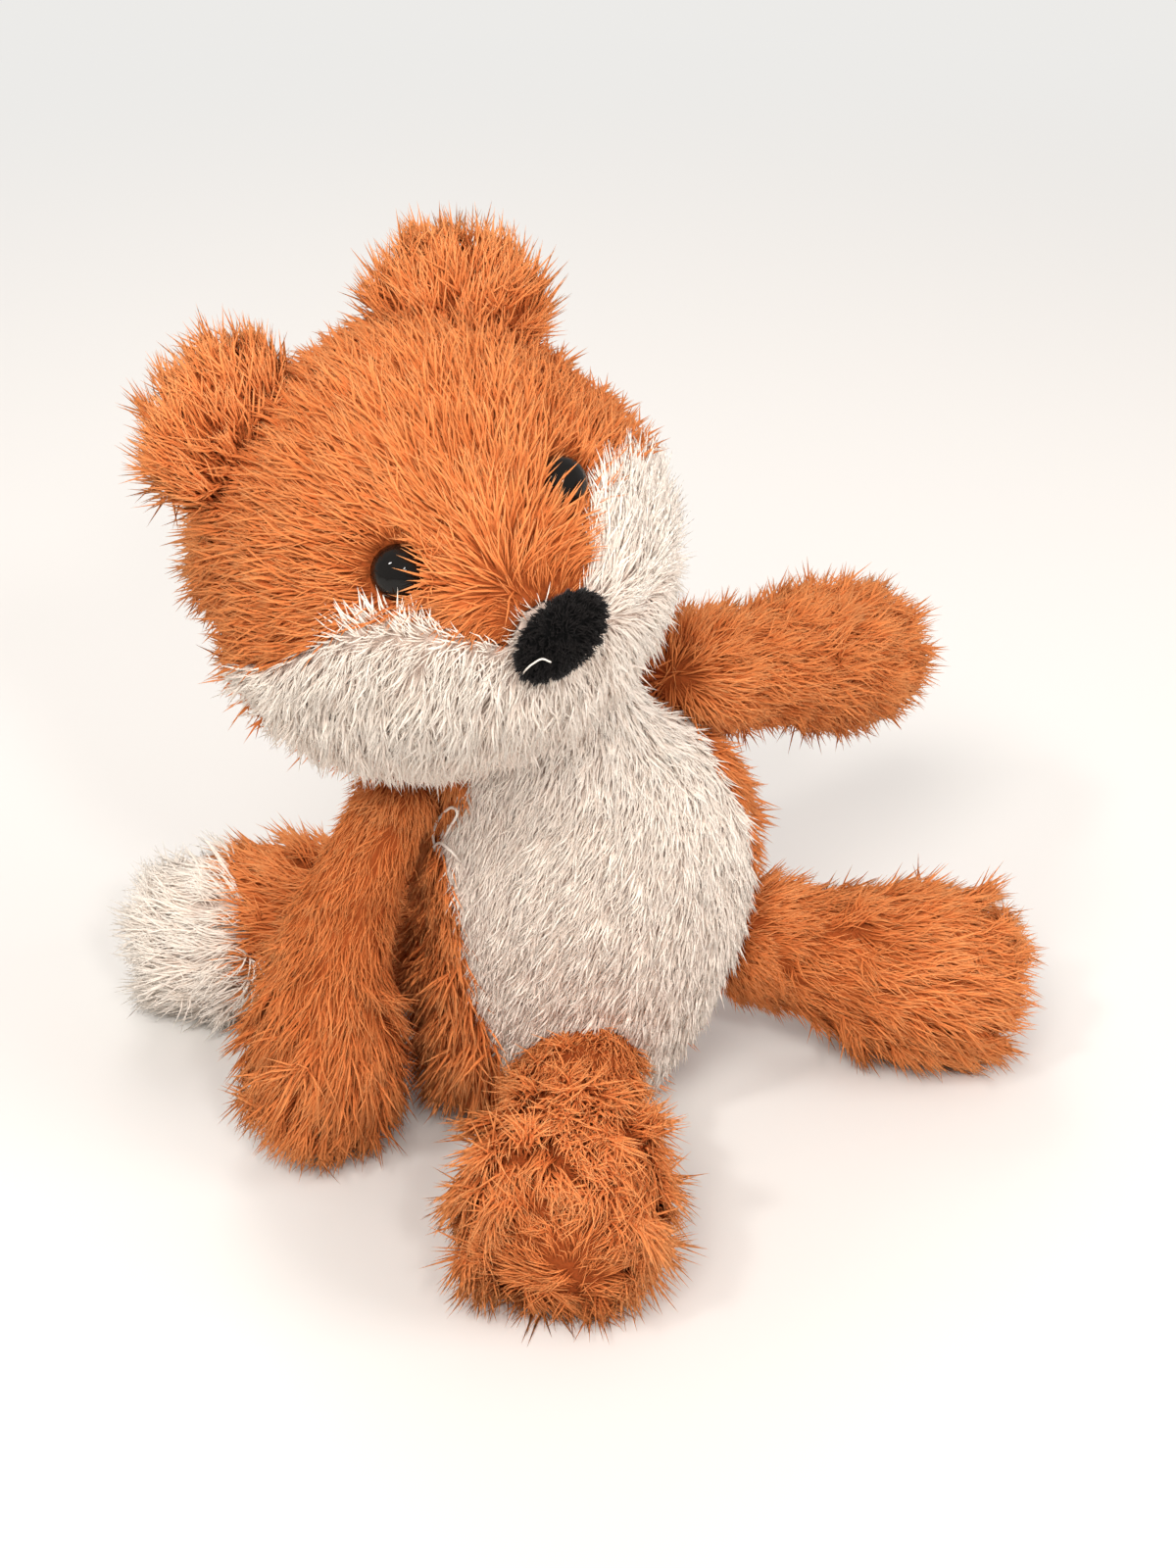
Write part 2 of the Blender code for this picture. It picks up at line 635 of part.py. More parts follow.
# Arms, hinged front to back through the shoulder
for side, sign, start, end, arm_radius in (
    ("left", 1.0, heading(*ARM_LEFT_START_DEG), heading(*ARM_LEFT_END_DEG), ARM_LEFT_RADIUS),
    ("right", -1.0, heading(*ARM_RIGHT_START_DEG), heading(*ARM_RIGHT_END_DEG), ARM_RIGHT_RADIUS),
):
    shoulder = Vector((
        sign * (TORSO_WIDTH / 2.0 - SHOULDER_INSIDE) - TORSO_LEAN / 2.0,
        SHOULDER_BACK + sign * LEFT_SHOULDER_BACK,
        TORSO_HEIGHT - SHOULDER_BELOW_NECK + sign * LEFT_SHOULDER_RAISED,
    ))
    limb(f"arm_{side}", shoulder, start, end, ARM_LENGTH, (arm_radius, HAND_RADIUS), LIMB_RING_SHARES)

# Legs, hinged upright through the hip, each foot pressed flat on the floor
left_hip = Vector((TORSO_WIDTH / 2.0 + LEFT_HIP_OUTSIDE, 0.0, LEFT_HIP_HEIGHT))
right_hip = Vector((-RIGHT_HIP_TO_RIGHT, RIGHT_HIP_INSIDE - TORSO_DEPTH / 2.0, RIGHT_HIP_HEIGHT))
for side, hip, turn_deg in (("left", left_hip, LEG_LEFT_TURN_DEG), ("right", right_hip, LEG_RIGHT_TURN_DEG)):
    foot_height = FOOT_RADIUS * CAP_RING_SHARES[3] - PRESSED_FLAT
    drop_deg = math.degrees(math.asin((foot_height - hip.z) / LEG_LENGTH))
    direction = heading(turn_deg, drop_deg)
    radii = (LEG_RADIUS, FOOT_RADIUS)
    leg = limb(f"leg_{side}", hip, direction, direction, LEG_LENGTH, radii, LIMB_RING_SHARES)
    boolean(leg, floor)

# Tail, hinged upright through its root, an orange base sewn to a white tip
tail_root = Vector((-TAIL_TO_RIGHT, TORSO_DEPTH / 2.0 + TAIL_OUTSIDE, TAIL_HEIGHT))
tail_start, tail_end = heading(*TAIL_START_DEG), heading(*TAIL_END_DEG)
tail_radii = (TAIL_ROOT_RADIUS, TAIL_TIP_RADIUS)
tail_rings = limb_rings(tail_root, tail_start, tail_end, TAIL_LENGTH, tail_radii, TAIL_RING_SHARES)
hollow_rings = limb_rings(
    tail_root, tail_start, tail_end, TAIL_LENGTH, tail_radii, TAIL_RING_SHARES, SKIN, 2.0 * SKIN)
tail_hollow = soft_form("tail_hollow", hollow_rings, SIDES_LIMB)
fill_rings = limb_rings(
    tail_root, tail_start, tail_end, TAIL_LENGTH, tail_radii, TAIL_RING_SHARES, SKIN + GAP)
soft_form("tail_stuffing", fill_rings, SIDES_LIMB, tail_root, fibre_fill)
seam_along = (tail_start * (1.0 - TAIL_SEAM_SHARE) + tail_end * TAIL_SEAM_SHARE).normalized()
seam_point = tail_root + (tail_start + tail_end) * TAIL_LENGTH / 2.0 * TAIL_SEAM_SHARE
for name, finish, sign in (("tail_base_skin", orange_plush, 1.0), ("tail_tip_skin", white_plush, -1.0)):
    skin = soft_form(name, tail_rings, SIDES_LIMB, tail_root, finish)
    boolean(skin, tail_hollow)
    boolean(skin, half_space(f"{name}_seam", seam_point - seam_along * sign * GAP / 2.0, seam_along * sign))
    boolean(skin, floor)
tail_seat = ball("tail_seat", tail_root, TAIL_ROOT_RADIUS + GAP)
for piece in (torso_back, tummy, torso_fill):
    boolean(piece, tail_seat)
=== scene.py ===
import json
import math

import bmesh
import bpy
import numpy as np
from mathutils import Matrix, Vector
from mathutils.bvhtree import BVHTree


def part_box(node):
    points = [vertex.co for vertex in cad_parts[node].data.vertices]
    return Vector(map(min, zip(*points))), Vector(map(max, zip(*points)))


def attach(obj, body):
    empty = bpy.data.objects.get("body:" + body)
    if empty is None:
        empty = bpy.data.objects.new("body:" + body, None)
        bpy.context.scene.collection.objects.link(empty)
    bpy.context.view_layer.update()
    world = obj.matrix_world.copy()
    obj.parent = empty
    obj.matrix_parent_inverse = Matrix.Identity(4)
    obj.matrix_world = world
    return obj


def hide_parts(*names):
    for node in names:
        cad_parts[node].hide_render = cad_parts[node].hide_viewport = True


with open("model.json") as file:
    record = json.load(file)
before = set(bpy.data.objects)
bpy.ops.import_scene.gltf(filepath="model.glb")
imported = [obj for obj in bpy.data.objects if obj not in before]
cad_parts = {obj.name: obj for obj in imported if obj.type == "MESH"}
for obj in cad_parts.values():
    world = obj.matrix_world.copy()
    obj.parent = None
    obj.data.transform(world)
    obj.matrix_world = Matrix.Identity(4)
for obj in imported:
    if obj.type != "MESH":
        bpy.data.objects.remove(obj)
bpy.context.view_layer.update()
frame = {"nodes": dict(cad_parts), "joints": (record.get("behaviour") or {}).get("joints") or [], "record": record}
bpy.context.scene.view_settings.view_transform = "Standard"

# ---- Fibre filling and bean bag
# White polyester fibre fills each limb, the tail, the torso and the head. A small calico bag of
# beans lies in the seat and keeps the fox upright. Both are loose inside the plush, and go in
# before the last seam is closed by hand.


class Wire:
    """One output in a node tree. Arithmetic adds Math nodes, and node() adds any other node."""

    def __init__(self, tree, socket=None):
        self.tree, self.socket = tree, socket

    def node(self, kind, settings=None, sockets=None, out=0):
        """Adds a node: its settings first, then a value or a wire for each socket named."""
        new = self.tree.nodes.new(kind)
        for name, value in (settings or {}).items():
            if name == "stops":
                ramp = new.color_ramp
                while len(ramp.elements) < len(value):
                    ramp.elements.new(0.5)
                for element, (place, colour) in zip(ramp.elements, value):
                    element.position, element.color = place, (*colour, 1.0)
            else:
                setattr(new, name, value)
        for name, value in (sockets or {}).items():
            for one in value if isinstance(value, list) else [value]:
                if isinstance(one, Wire):
                    self.tree.links.new(one.socket, new.inputs[name])
                else:
                    new.inputs[name].default_value = one
        return Wire(self.tree, new.outputs[out])

    def out(self, name):
        return Wire(self.tree, self.socket.node.outputs[name])

    def maths(self, operation, first, second=0.0):
        return self.node("ShaderNodeMath", {"operation": operation}, {0: first, 1: second})

    def vector(self, operation, second, out=0):
        settings = {"operation": operation}
        return self.node("ShaderNodeVectorMath", settings, {0: self, 1: second}, out)

    def scaled(self, amount):
        return self.node("ShaderNodeVectorMath", {"operation": "SCALE"}, {0: self, "Scale": amount})

    def __add__(self, other):
        return self.maths("ADD", self, other)

    def __sub__(self, other):
        return self.maths("SUBTRACT", self, other)

    def __rsub__(self, other):
        return self.maths("SUBTRACT", other, self)

    def __mul__(self, other):
        return self.maths("MULTIPLY", self, other)

    def __truediv__(self, other):
        return self.maths("DIVIDE", self, other)

    def __rtruediv__(self, other):
        return self.maths("DIVIDE", other, self)

    __radd__, __rmul__ = __add__, __mul__


def finish(name, roughness, **fixed):
    """A new material. Gives it, its shader node and a wire to build on."""
    made = bpy.data.materials.new(name)
    made.use_nodes = True
    shader = made.node_tree.nodes["Principled BSDF"]
    shader.inputs["Roughness"].default_value = roughness
    for socket, value in fixed.items():
        shader.inputs[socket.replace("_", " ")].default_value = value
    return made, shader, Wire(made.node_tree)


def feed(shader, socket, wire):
    wire.tree.links.new(wire.socket, shader.inputs[socket])


def raised(wire, height, distance, strength=1.0):
    """Surface relief. The distance is its depth in metres."""
    return wire.node(
        "ShaderNodeBump", sockets={"Height": height, "Distance": distance, "Strength": strength}
    )


def mixed(wire, share, first, second):
    """A colour between two others. Each is a wire or a plain colour."""
    ends = [end if isinstance(end, Wire) else (*end, 1.0) for end in (first, second)]
    return wire.node(
        "ShaderNodeMix", {"data_type": "RGBA"}, {0: share, 6: ends[0], 7: ends[1]}, out=2
    )


def object_spot(wire):
    return wire.node("ShaderNodeTexCoord", out="Object")


SAME_SPOT = 1e-6
EDGE_CUTS = 3


def merged(node, edge=1.0):
    """A CAD node's surface as one joined skin, with its edges cut until they are this short."""
    mesh = bmesh.new()
    mesh.from_mesh(frame["nodes"][node].data)
    bmesh.ops.remove_doubles(mesh, verts=mesh.verts, dist=SAME_SPOT)
    for _ in range(EDGE_CUTS):
        coarse = [e for e in mesh.edges if e.calc_length() > edge]
        bmesh.ops.subdivide_edges(mesh, edges=coarse, cuts=1, use_grid_fill=True)
        bmesh.ops.triangulate(mesh, faces=[f for f in mesh.faces if len(f.verts) > 3])
    mesh.normal_update()
    return mesh


def piece(name, mesh, material):
    """A finished object from a bmesh, smooth shaded, with its one material."""
    data = bpy.data.meshes.new(name)
    mesh.to_mesh(data)
    mesh.free()
    data.shade_smooth()
    data.materials.clear()
    data.materials.append(material)
    made = bpy.data.objects.new(name, data)
    bpy.context.scene.collection.objects.link(made)
    return made


fibre, shader, build = finish("fibre_filling", 0.95)
spot = object_spot(build)
strands = build.node(
    "ShaderNodeTexNoise",
    sockets={"Vector": spot, "Scale": 900.0, "Detail": 6.0, "Distortion": 3.0},
)
# Painted shade: the white fibre is painted grey where the noise sinks into hollows, and pale on its raised tufts.
fibre_hollow_shade = build.node(
    "ShaderNodeValToRGB",
    {"stops": [(0.30, (0.46, 0.45, 0.43)), (0.62, (0.80, 0.79, 0.76))]},
    {"Fac": strands},
)
feed(shader, "Base Color", fibre_hollow_shade)
feed(shader, "Normal", raised(build, strands, 0.0006))

calico, shader, build = finish("bag_calico", 0.9)
spot = object_spot(build)
warp, weft = (
    build.node(
        "ShaderNodeTexWave",
        {"bands_direction": way},
        {"Vector": spot, "Scale": 420.0, "Distortion": 0.6, "Detail": 1.0},
        out="Fac",
    )
    for way in ("X", "Z")
)
weave = warp.maths("MAXIMUM", warp, weft)
feed(shader, "Base Color", mixed(build, weave, (0.40, 0.38, 0.33), (0.60, 0.57, 0.50)))
feed(shader, "Normal", raised(build, weave, 0.0002, 0.6))

# For each kind of filling: its mesh edge, the depth of its dents, their waves in radians per
# metre, its material and its slot.
FIBRE = (0.004, 0.0007, 420.0, fibre, "fibre_fill")
BEANS = (0.002, 0.00035, 900.0, calico, "bag_cloth")

bodies = frame["record"]["behaviour"]["bodies"]
for body, nodes in bodies.items():
    for node in nodes:
        if not (node.endswith("_stuffing") or node == "seat_bean_bag"):
            continue
        edge, depth, waves, material, slot = BEANS if node == "seat_bean_bag" else FIBRE
        filling = merged(node, edge)
        for vertex in filling.verts:
            x, y, z = vertex.co * waves
            dent = 0.5 + 0.5 * math.sin(x + math.sin(1.3 * y)) * math.sin(1.1 * z + math.sin(x))
            vertex.co -= vertex.normal * dent * depth
        made = piece(node + "_soft", filling, material)
        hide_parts(node)
        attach(made, body)

# ---- Torso
# The back is one bag of orange plush and the front a white tummy panel sewn into it, with the
# seam inside. The cloth is a knit with a long cut pile of soft yarn strands. The pile is combed
# down, and it hides every seam.

# Four kinds of strand, each with its bend forwards and its curl sideways per unit of length.
STRAND_BENDS = ((0.10, 0.05), (0.22, -0.07), (0.34, 0.10), (0.18, -0.13))
# A strand is a pointed cone, swollen in its middle. The more it bends, the lower its tip.
ROOT_RADIUS = 0.55
ROOT_WIDTH, WIDENING = 0.8, 2.4
BEND_SHORTENS = 0.4
PATCHES_PER_METRE = 70.0
PATCH_SWING = 1.4
LEAST_RISE = 0.14
SHORTEST, LONGEST = 0.74, 1.12
LOCK_SHORTEST, LOCK_SPREAD = 0.84, 0.32
# How much of a strand's tone is its own, its patch's and its lock's.
OWN_TONE, PATCH_TONE, LOCK_TONE = 0.40, 0.26, 0.34
PATCH_CONTRAST = 2.2
# The map's part for strands: its left and lower edge, width and height, and one strand's share.
MAP_LEFT, MAP_LOW, MAP_WIDTH, MAP_HEIGHT = 0.03, 0.09, 0.94, 0.90
STRAND_MAP_WIDTH, STRAND_MAP_DROP = 0.016, 0.03
SOFTNESS = 0.75
FLOOR_CLEARANCE = 0.00015
PRESSED_LAYER = 0.0010
HALF = (0.5, 0.5, 0.5)


def pile_tree():
    """Strands of yarn that stand on a cloth, whose attributes say where, how and which way."""
    tree = bpy.data.node_groups.new("plush_pile", "GeometryNodeTree")
    for name, kind, value in (
        ("Cloth", "NodeSocketGeometry", None),
        ("Strands per square metre", "NodeSocketFloat", 1.2e6),
        ("Length", "NodeSocketFloat", 0.008),
        ("Thickness", "NodeSocketFloat", 0.00041),
        ("Droop", "NodeSocketFloat", 1.0),
        ("Disorder", "NodeSocketFloat", 0.25),
        ("Lock width", "NodeSocketFloat", 0.006),
        ("Lock depth", "NodeSocketFloat", 0.4),
        ("Gather", "NodeSocketFloat", 0.6),
        ("Seed", "NodeSocketInt", 1),
        ("Finish", "NodeSocketMaterial", None),
    ):
        socket = tree.interface.new_socket(name, in_out="INPUT", socket_type=kind)
        if value is not None:
            socket.default_value = value
    tree.interface.new_socket("Plush", in_out="OUTPUT", socket_type="NodeSocketGeometry")
    build = Wire(tree, tree.nodes.new("NodeGroupInput").outputs["Cloth"])
    cloth, given = build, build.out

    def kept(name, kind="FLOAT"):
        return build.node("GeometryNodeInputNamedAttribute", {"data_type": kind}, {"Name": name})

    def keep(on, name, value, domain="POINT", kind="FLOAT"):
        settings = {"data_type": kind, "domain": domain}
        sockets = {"Geometry": on, "Name": name, "Value": value}
        return build.node("GeometryNodeStoreNamedAttribute", settings, sockets)

    def chance(low, high, offset, kind="FLOAT", first=2, out=1):
        return build.node(
            "FunctionNodeRandomValue",
            {"data_type": kind},
            {first: low, first + 1: high, "Seed": given("Seed") + offset},
            out,
        )

    strands = []
    for bend, curl in STRAND_BENDS:
        cone = build.node(
            "GeometryNodeMeshCone",
            {"fill_type": "NGON"},
            {
                "Vertices": 3, "Side Segments": 2,
                "Radius Top": 0.0, "Radius Bottom": ROOT_RADIUS, "Depth": 1.0,
            },
        )
        place = build.node("GeometryNodeInputPosition")
        x = build.node("ShaderNodeSeparateXYZ", sockets={0: place})
        y, along = x.out("Y"), x.out("Z")
        tagged = keep(keep(cone, "along", along), "side", build.maths("ARCTAN2", y, x))
        wide = given("Thickness") * (ROOT_WIDTH + WIDENING * along)
        length, lean = given("Length"), given("Droop") * bend * along * along
        bent = build.node(
            "ShaderNodeCombineXYZ",
            sockets={
                "X": x * wide + length * lean,
                "Y": y * wide + length * along * along * curl,
                "Z": length * along * (1.0 - BEND_SHORTENS * given("Droop") * bend * lean),
            },
        )
        shaped = build.node(
            "GeometryNodeSetPosition", sockets={"Geometry": tagged, "Position": bent}
        )
        strands.append(build.node("GeometryNodeGeometryToInstance", sockets={0: shaped}))
    kinds = build.node("GeometryNodeJoinGeometry", sockets={0: strands})

    roots = build.node(
        "GeometryNodeDistributePointsOnFaces",
        sockets={
            "Mesh": cloth,
            "Selection": kept("furred", "BOOLEAN"),
            "Density": given("Strands per square metre"),
            "Seed": given("Seed"),
        },
    )
    outward = roots.out("Normal")
    at = build.node("GeometryNodeInputPosition")
    lock = build.node(
        "ShaderNodeTexVoronoi", sockets={"Vector": at, "Scale": 1.0 / given("Lock width")}
    )
    patch = build.node(
        "ShaderNodeTexNoise", sockets={"Vector": at, "Scale": PATCHES_PER_METRE, "Detail": 2.0}
    )
    lock_kind = build.node("ShaderNodeSeparateXYZ", sockets={0: lock.out("Color")})
    drift = patch.out("Color").vector("SUBTRACT", HALF).scaled(given("Lock depth") * PATCH_SWING)
    swing = lock.out("Color").vector("SUBTRACT", HALF).scaled(given("Lock depth"))
    pull = lock.out("Position").vector("SUBTRACT", at).scaled(given("Gather") / given("Length"))
    swing = swing.vector("ADD", drift).vector("ADD", pull)
    stray = chance((-1.0, -1.0, -1.0), (1.0, 1.0, 1.0), 3, "FLOAT_VECTOR", 0, 0)
    lay, stand = kept("lay", "FLOAT_VECTOR"), kept("stand")
    way = outward.scaled(stand).vector("ADD", lay.scaled(1.0 - stand)).vector("ADD", swing)
    way = way.vector("ADD", stray.scaled(given("Disorder")))
    sunk = build.maths("MAXIMUM", LEAST_RISE - way.vector("DOT_PRODUCT", outward, 1), 0.0)
    way = way.vector("ADD", outward.scaled(sunk))
    turn = build.node("FunctionNodeAlignRotationToVector", {"axis": "Z"}, {"Vector": way})
    turn = build.node(
        "FunctionNodeAlignRotationToVector",
        {"axis": "X", "pivot_axis": "Z"},
        {"Rotation": turn, "Vector": lay.vector("ADD", stray.scaled(0.5))},
    )
    patch_tone = (patch - 0.5) * PATCH_CONTRAST + 0.5
    tone = OWN_TONE * chance(0.0, 1.0, 5) + PATCH_TONE * patch_tone + LOCK_TONE * lock_kind
    tone = build.node("ShaderNodeClamp", sockets={"Value": tone})
    roots = keep(keep(roots, "tone", tone), "outward", outward, kind="FLOAT_VECTOR")
    rooted = build.node(
        "GeometryNodeInstanceOnPoints",
        sockets={
            "Points": roots,
            "Instance": kinds,
            "Pick Instance": True,
            "Instance Index": chance(0, len(STRAND_BENDS) - 1, 7, "INT", 4, 2),
            "Rotation": turn,
            "Scale": kept("reach") * chance(SHORTEST, LONGEST, 9)
            * (LOCK_SHORTEST + LOCK_SPREAD * lock_kind.out("Y")),
        },
    )
    grown = build.node("GeometryNodeRealizeInstances", sockets={0: rooted})

    # Strands that would pass into the table lie flat on it.
    spot = build.node("GeometryNodeInputPosition")
    parts = build.node("ShaderNodeSeparateXYZ", sockets={0: spot})
    height = parts.out("Z")
    squeeze = PRESSED_LAYER - FLOOR_CLEARANCE
    below = build.maths("MINIMUM", (height - PRESSED_LAYER) / squeeze, 0.0)
    pressed = FLOOR_CLEARANCE + squeeze * build.maths("EXPONENT", below)
    lifted = build.node(
        "ShaderNodeCombineXYZ",
        sockets={"X": parts, "Y": parts.out("Y"), "Z": build.maths("MAXIMUM", height, pressed)},
    )
    grown = build.node("GeometryNodeSetPosition", sockets={"Geometry": grown, "Position": lifted})

    # The map that the colour reads: a strand's tone across, and the way along it up.
    side = kept("side") / math.tau
    flat = build.node(
        "ShaderNodeCombineXYZ",
        sockets={
            "X": MAP_LEFT + MAP_WIDTH * kept("tone") + STRAND_MAP_WIDTH * side,
            "Y": MAP_LOW + MAP_HEIGHT * kept("along") + STRAND_MAP_DROP * side * side,
        },
    )
    grown = keep(grown, "OFBake", flat, "CORNER", "FLOAT2")
    whole = build.node("GeometryNodeJoinGeometry", sockets={0: [cloth, grown]})
    whole = build.node("GeometryNodeRealizeInstances", sockets={0: whole})
    whole = build.node("GeometryNodeSetShadeSmooth", sockets={0: whole})
    # Each strand is lit partly as the cloth under it is, like a soft yarn that light passes.
    cloth_facing = kept("outward", "FLOAT_VECTOR").scaled(SOFTNESS)
    facing = build.node("GeometryNodeInputNormal").vector("ADD", cloth_facing)
    whole = build.node(
        "GeometryNodeSetMeshNormal",
        {"mode": "FREE", "domain": "POINT"},
        {0: whole, "Custom Normal": facing},
    )
    whole = build.node("GeometryNodeSetMaterial", sockets={0: whole, "Material": given("Finish")})
    done = tree.nodes.new("NodeGroupOutput")
    tree.links.new(whole.socket, done.inputs["Plush"])
    return tree


pile = pile_tree()
solids = bmesh.new()
for node in frame["nodes"].values():
    solids.from_mesh(node.data)
near_solids = BVHTree.FromBMesh(solids)
solids.free()
CLOTH_EDGE = 0.0030
# A face with another solid this close over it is inside a seam and grows no pile. Where one is
# within the crowded reach, the pile is clipped, down to this share of its length.
SKIN_LIFT = 0.00005
SEAM_REACH = 0.0012
CROWDED_REACH = 0.0070
CROWDED_SHARE = 0.6
KNUCKLE_ROUNDNESS = 3
KNUCKLE_FRONT = 0.1
THREAD_SIDES = 5
# The map's corners of each bare face of the cloth, which puts the cloth in the painted shade of the strands'
# roots, and how far off a loose thread's lie.
BARE_CORNERS = ((0.40, 0.010), (0.46, 0.010), (0.40, 0.045))
THREAD_SHIFT = (0.30, 0.80)


def unit(v):
    return v / max(np.linalg.norm(v), 1e-9)


def fade(value, low, high):
    """0 up to low, 1 from high, and smooth between."""
    t = min(max((value - low) / (high - low), 0.0), 1.0)
    return t * t * (3.0 - 2.0 * t)


def add_thread(mesh, spots, radius):
    """A loose thread as a thin tube, smooth through the spots given in mm."""
    spots = [Vector(spot) / 1000.0 for spot in spots]
    ends = [2.0 * spots[0] - spots[1], *spots, 2.0 * spots[-1] - spots[-2]]
    path = []
    for a, b, c, d in zip(ends, ends[1:], ends[2:], ends[3:]):
        for t in (0.0, 0.25, 0.5, 0.75):
            bend = (2.0 * a - 5.0 * b + 4.0 * c - d) * t * t + (3.0 * (b - c) + d - a) * t ** 3
            path.append((2.0 * b + (c - a) * t + bend) / 2.0)
    path.append(spots[-1])
    rings = []
    for number, spot in enumerate(path):
        along = path[min(number + 1, len(path) - 1)] - path[max(number - 1, 0)]
        across = along.cross(Vector((0.3, 0.8, 0.5))).normalized() * radius
        deep = along.cross(across).normalized() * radius
        around = [math.tau * step / THREAD_SIDES for step in range(THREAD_SIDES)]
        rings.append(
            [mesh.verts.new(spot + across * math.cos(a) + deep * math.sin(a)) for a in around]
        )
    for low, high in zip(rings, rings[1:]):
        for number in range(THREAD_SIDES):
            after = (number + 1) % THREAD_SIDES
            mesh.faces.new((low[number], low[after], high[after]))
            mesh.faces.new((low[number], high[after], high[number]))
    mesh.normal_update()


def plush(node, body, slot, material, comb, seed, knuckle=None, threads=(), **sizes):
    """A CAD skin with its pile.

    comb gives a point's combing direction, how far the pile stands up (0 to 1) and its relative
    length. knuckle is the middle, radius and heading of a limb's rounded root, threads are loose
    threads as spots and radius, and sizes are inputs of the pile's node tree.
    """
    mesh = merged(node, CLOTH_EDGE)
    skin_faces = len(mesh.faces)
    if knuckle:
        at, radius, run = knuckle
        bmesh.ops.create_icosphere(
            mesh, subdivisions=KNUCKLE_ROUNDNESS, radius=radius, matrix=Matrix.Translation(at)
        )
        mesh.normal_update()
    cloth_faces = len(mesh.faces)
    for spots, radius in threads:
        add_thread(mesh, spots, radius)
    furred, rows = [], []
    for number, face in enumerate(mesh.faces):
        if number >= cloth_faces:
            furred.append(False)
            continue
        start = face.calc_center_median() + face.normal * SKIN_LIFT
        inside = near_solids.ray_cast(start, face.normal, SEAM_REACH)[0] is not None
        buried = number >= skin_faces and np.array(face.normal) @ run > KNUCKLE_FRONT
        furred.append(not (inside or buried))
    for vertex in mesh.verts:
        out = np.array(vertex.normal)
        lay, stand, reach = comb(np.array(vertex.co), out)
        lay = unit(lay - out * (lay @ out))
        start = vertex.co + vertex.normal * SEAM_REACH
        gap = near_solids.ray_cast(start, vertex.normal, CROWDED_REACH)[3]
        if gap is not None:
            reach *= CROWDED_SHARE + (1.0 - CROWDED_SHARE) * gap / CROWDED_REACH
        rows.append((*lay, stand, reach))
        vertex.co.z = max(vertex.co.z, PRESSED_LAYER)
    name = node.replace("_skin", "").replace("_panel", "") + "_plush"
    base = piece(name + "_cloth", mesh, material)
    rows = np.array(rows, np.float32)
    for label, kind, values in (
        ("lay", "FLOAT_VECTOR", rows[:, :3]),
        ("stand", "FLOAT", rows[:, 3]),
        ("reach", "FLOAT", rows[:, 4]),
    ):
        entry = "vector" if kind == "FLOAT_VECTOR" else "value"
        base.data.attributes.new(label, kind, "POINT").data.foreach_set(entry, values.ravel())
    base.data.attributes.new("furred", "BOOLEAN", "FACE").data.foreach_set("value", furred)
    corner = np.tile(BARE_CORNERS, (len(furred), 1))
    corner[3 * cloth_faces:] += THREAD_SHIFT
    base.data.uv_layers.new(name="OFBake").uv.foreach_set("vector", corner.ravel())
    grow = base.modifiers.new("pile", "NODES")
    grow.node_group = pile
    given = {"Seed": seed, "Finish": material} | {k.replace("_", " "): v for k, v in sizes.items()}
    for item in pile.interface.items_tree:
        if item.in_out == "INPUT" and item.name in given:
            grow[item.identifier] = given[item.name]
    evaluated = base.evaluated_get(bpy.context.evaluated_depsgraph_get())
    made = bpy.data.objects.new(name, bpy.data.meshes.new_from_object(evaluated))
    bpy.context.scene.collection.objects.link(made)
    old = base.data
    bpy.data.objects.remove(base)
    bpy.data.meshes.remove(old)
    for label in ("lay", "stand", "reach", "furred", "tone", "outward", "along", "side"):
        if label in made.data.attributes:
            made.data.attributes.remove(made.data.attributes[label])
    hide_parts(node)
    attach(made, body)


# How far up a strand its four colours lie. The first, at the root, is painted shade.
COLOUR_PLACES = (0.06, 0.35, 0.72, 1.0)
TWISTS_ACROSS, TWISTS_ALONG = 110.0, 5.0


def plush_finish(name, dark, light):
    """Dyed yarn. Each strand is painted darker at its root, as painted shade deep in the pile, and grows paler
    towards its tip.

    dark and light give the four colours of the darkest and the palest strands.
    """
    made, shader, build = finish(name, 0.85, Specular_IOR_Level=0.06)
    flat = build.node("ShaderNodeUVMap", {"uv_map": "OFBake"})
    tone = build.node("ShaderNodeSeparateXYZ", sockets={0: flat})
    along = tone.out("Y")
    ends = [
        build.node("ShaderNodeValToRGB", {"stops": list(zip(COLOUR_PLACES, stops))}, {0: along})
        for stops in (dark, light)
    ]
    feed(shader, "Base Color", mixed(build, tone, *ends))
    yarn = flat.vector("MULTIPLY", (TWISTS_ACROSS, TWISTS_ALONG, 0.0))
    twist = build.node(
        "ShaderNodeTexWave",
        {"bands_direction": "DIAGONAL"},
        {"Vector": yarn, "Scale": 1.0, "Distortion": 1.2},
        out="Fac",
    )
    feed(shader, "Roughness", 0.80 + 0.14 * twist)
    feed(shader, "Normal", raised(build, twist, 0.00008, 0.5))
    return made


# The first colours of each row, at the strands' roots, are painted shade.
orange = plush_finish(
    "orange_plush",
    ((0.27, 0.054, 0.013), (0.50, 0.122, 0.030), (0.64, 0.186, 0.052), (0.72, 0.248, 0.081)),
    ((0.43, 0.104, 0.028), (0.69, 0.205, 0.060), (0.84, 0.316, 0.108), (0.93, 0.462, 0.205)),
)
# The white yarn's first colours, at the roots, are a pinkish painted shade, tinted like light thrown back from a
# red surface.
white = plush_finish(
    "white_plush",
    ((0.60, 0.46, 0.39), (0.80, 0.67, 0.58), (0.90, 0.79, 0.69), (0.94, 0.85, 0.75)),
    ((0.77, 0.64, 0.55), (0.92, 0.81, 0.71), (0.97, 0.90, 0.81), (0.99, 0.95, 0.88)),
)

# Where the combing changes, as distances in metres to the fox's right, and heights.
HIP_SIDE, HIP_TOP, HIP_LOW = (0.008, 0.022), 0.048, 0.026
RIGHT_SIDE = (0.006, 0.018)
TUMMY_EDGE = (0.015, 0.025)


